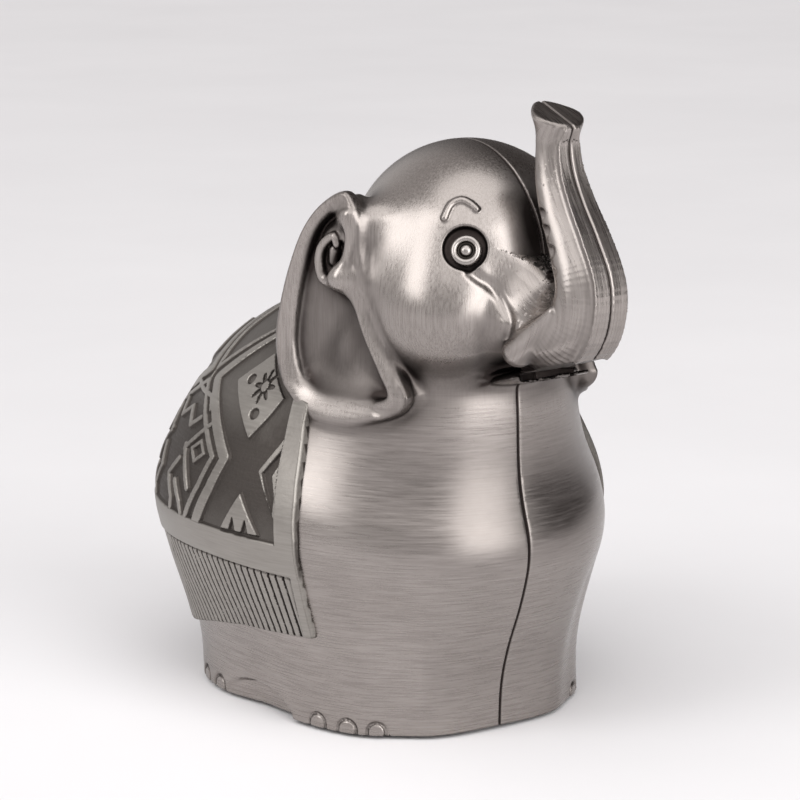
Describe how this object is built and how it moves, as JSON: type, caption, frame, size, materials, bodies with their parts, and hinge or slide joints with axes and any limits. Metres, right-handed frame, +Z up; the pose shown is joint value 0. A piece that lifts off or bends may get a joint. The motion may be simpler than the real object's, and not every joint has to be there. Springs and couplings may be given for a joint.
{
  "type": "coin bank",
  "caption": "Cast metal money box shaped as an elephant with raised trunk and fringed saddle cloth; coin slot in its back, push-in rubber stopper underneath.",
  "frame": {"origin": "on the table, under the middle of the bounding box", "axes": "+Z up; -Y is the way the elephant faces; +X is the elephant's left side"},
  "size_m": [0.098, 0.1443, 0.142],
  "materials": {
    "cast_metal": "brushed antique pewter, satin",
    "relief_metal": "antique pewter, darkened in the recesses",
    "eye_metal": "polished pewter",
    "plate_metal": "black satin paint",
    "screw_steel": "zinc plated",
    "black_rubber": "matt"
  },
  "bodies": {
    "bank": {"right_shell": "cast_metal", "left_shell": "cast_metal", "right_ear": "cast_metal", "left_ear": "cast_metal", "right_saddle_cloth": "relief_metal", "left_saddle_cloth": "relief_metal", "right_eye": "eye_metal", "left_eye": "eye_metal", "base_plate": "plate_metal", "base_screws": "screw_steel", "front_right_pad": "black_rubber", "front_left_pad": "black_rubber", "rear_right_pad": "black_rubber", "rear_left_pad": "black_rubber"},
    "stopper": {"stopper": "black_rubber"}
  },
  "joints": [
    {"name": "stopper_pull", "type": "slide", "parent": "bank", "child": "stopper", "axis": [0, 0, -1], "range_m": [0, 0.03]}
  ]
}
